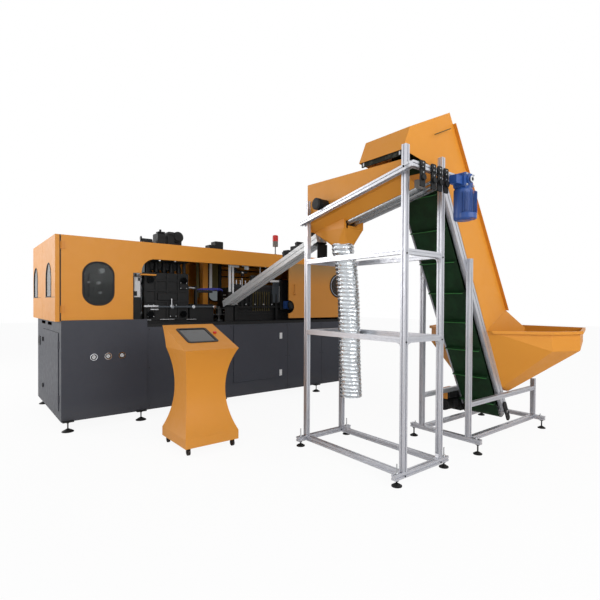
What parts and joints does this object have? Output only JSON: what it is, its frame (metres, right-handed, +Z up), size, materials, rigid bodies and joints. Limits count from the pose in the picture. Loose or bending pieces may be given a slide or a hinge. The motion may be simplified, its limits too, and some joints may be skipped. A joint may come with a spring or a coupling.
{
  "type": "blow moulding machine",
  "caption": "Stretch blow moulding line: orange and grey moulding machine, operator console, preform unscrambler on a profile stand, and inclined elevator with hopper.",
  "frame": {"origin": "centre of the underside of the machine's front left levelling foot, on the floor", "axes": "+X along the machine and the line, +Y from its front to its back, +Z up"},
  "size_m": [4.961, 5.528, 3.173],
  "materials": {
    "orange_paint": "satin powder coat",
    "grey_paint": "satin powder coat",
    "black_paint": "satin",
    "blue_paint": "gloss",
    "dark_grey_paint": "satin",
    "anodised_profile": "satin anodised",
    "machined_steel": "ground",
    "mould_aluminium": "machined",
    "bright_chrome": "polished",
    "duct_foil": "bright foil",
    "roller_steel": "ground",
    "belt_rubber": "matt",
    "black_rubber": "matt",
    "castor_plastic": "semi-gloss",
    "black_plastic": "matt",
    "red_plastic": "gloss",
    "window_pane": "tinted clear",
    "quartz_glass": "clear",
    "display_glass": "gloss"
  },
  "bodies": {
    "line": {"base_frame": "dark_grey_paint", "cabinet_panels": "grey_paint", "cabinet_hinges": "machined_steel", "side_handle": "black_plastic", "bed_plate": "dark_grey_paint", "levelling_feet": "black_paint", "pressure_gauges": "bright_chrome", "hood_left": "orange_paint", "hood_beam": "orange_paint", "hood_shell": "orange_paint", "hood_panes": "window_pane", "signal_lamp": "black_plastic", "signal_lens": "red_plastic", "clamp_frame": "dark_grey_paint", "tie_rods": "bright_chrome", "mould_front": "mould_aluminium", "blow_frame": "machined_steel", "top_drives": "black_paint", "heating_oven": "machined_steel", "oven_lamps": "quartz_glass", "feed_wheel_stand": "machined_steel", "console_body": "orange_paint", "console_bezel": "black_plastic", "console_display": "display_glass", "console_castors": "castor_plastic", "stand_frame": "anodised_profile", "trough_rails": "anodised_profile", "trough": "orange_paint", "waste_duct": "duct_foil", "bearing_plates": "black_paint", "roller_gearmotor": "blue_paint", "kicker_motor": "black_paint", "gravity_rail": "anodised_profile", "rail_brackets": "black_paint", "lift_frame": "anodised_profile", "conveyor_rails": "anodised_profile", "elevator_housing": "orange_paint", "belt": "belt_rubber", "hopper": "orange_paint", "lift_gearmotor": "dark_grey_paint"},
    "cabinet_door_leaf": {"cabinet_door": "grey_paint"},
    "side_door_leaf": {"side_door": "grey_paint"},
    "lower_latch": {"side_latch_lower": "black_plastic"},
    "upper_latch": {"side_latch_upper": "black_plastic"},
    "front_end_door": {"end_door_front": "orange_paint", "end_pane_front": "window_pane"},
    "rear_end_door": {"end_door_rear": "orange_paint", "end_pane_rear": "window_pane"},
    "guard_leaf": {"guard_door": "orange_paint", "guard_pane": "window_pane"},
    "clamp_platen": {"moving_platen": "machined_steel", "mould_rear": "mould_aluminium"},
    "blow_carriage": {"blow_head": "mould_aluminium"},
    "feed_wheel_body": {"feed_wheel": "mould_aluminium"},
    "stop_button_body": {"stop_button": "red_plastic"},
    "roller_left_body": {"roller_left": "roller_steel"},
    "roller_right_body": {"roller_right": "roller_steel"},
    "kicker_body": {"kicker_wheel": "black_rubber"},
    "head_drum_body": {"head_drum": "machined_steel"},
    "tail_drum_body": {"tail_drum": "machined_steel"}
  },
  "joints": [
    {"name": "cabinet_door_hinge", "type": "hinge", "parent": "line", "child": "cabinet_door_leaf", "pos_m": [2.814, 0.012, 0.705], "axis": [0, 0, 1], "range_deg": [0, 110]},
    {"name": "side_door_hinge", "type": "hinge", "parent": "line", "child": "side_door_leaf", "pos_m": [-0.0683, 0.147, 0.64], "axis": [0, 0, 1], "range_deg": [0, 110]},
    {"name": "lower_latch_turn", "type": "hinge", "parent": "side_door_leaf", "child": "lower_latch", "pos_m": [-0.07, 1.22, 0.341], "axis": [-1, 0, 0], "range_deg": [0, 90]},
    {"name": "upper_latch_turn", "type": "hinge", "parent": "side_door_leaf", "child": "upper_latch", "pos_m": [-0.07, 1.22, 0.941], "axis": [-1, 0, 0], "range_deg": [0, 90]},
    {"name": "front_end_door_hinge", "type": "hinge", "parent": "line", "child": "front_end_door", "pos_m": [-0.063, 0.009, 1.69], "axis": [0, 0, 1], "range_deg": [0, 100]},
    {"name": "rear_end_door_hinge", "type": "hinge", "parent": "line", "child": "rear_end_door", "pos_m": [-0.063, 1.781, 1.69], "axis": [0, 0, -1], "range_deg": [0, 100]},
    {"name": "guard_door_hinge", "type": "hinge", "parent": "line", "child": "guard_leaf", "pos_m": [4.3253, 0, 1.613], "axis": [0, 0, 1], "range_deg": [0, 100]},
    {"name": "clamp_slide", "type": "slide", "parent": "line", "child": "clamp_platen", "axis": [0, 1, 0], "range_m": [0, 0.12]},
    {"name": "blow_slide", "type": "slide", "parent": "line", "child": "blow_carriage", "axis": [0, 0, 1], "range_m": [0, 0.08]},
    {"name": "feed_wheel_turn", "type": "hinge", "parent": "line", "child": "feed_wheel_body", "pos_m": [1.96, 0.33, 1.28], "axis": [0, 0, 1], "continuous": true},
    {"name": "stop_button_press", "type": "slide", "parent": "line", "child": "stop_button_body", "axis": [0, 0.3424, -0.9396], "range_m": [0, 0.006], "stiffness_N_per_m": 900},
    {"name": "roller_left_turn", "type": "hinge", "parent": "line", "child": "roller_left_body", "pos_m": [1.943, -3.35, 2.38668], "axis": [0, 0.9824, -0.1867], "continuous": true},
    {"name": "roller_right_turn", "type": "hinge", "parent": "line", "child": "roller_right_body", "pos_m": [2.027, -3.35, 2.38668], "axis": [0, 0.9824, -0.1867], "continuous": true},
    {"name": "kicker_turn", "type": "hinge", "parent": "line", "child": "kicker_body", "pos_m": [1.9, -2.228, 2.362], "axis": [1, 0, 0], "continuous": true},
    {"name": "head_drum_turn", "type": "hinge", "parent": "line", "child": "head_drum_body", "pos_m": [2.32966, -2.8505, 2.7798], "axis": [0, 1, 0], "continuous": true},
    {"name": "tail_drum_turn", "type": "hinge", "parent": "line", "child": "tail_drum_body", "pos_m": [3.63871, -2.8505, 0.26513], "axis": [0, 1, 0], "continuous": true}
  ],
  "couplings": [
    {"joint": "roller_right_turn", "follows": "roller_left_turn", "ratio": -1},
    {"joint": "head_drum_turn", "follows": "tail_drum_turn", "ratio": 1}
  ]
}
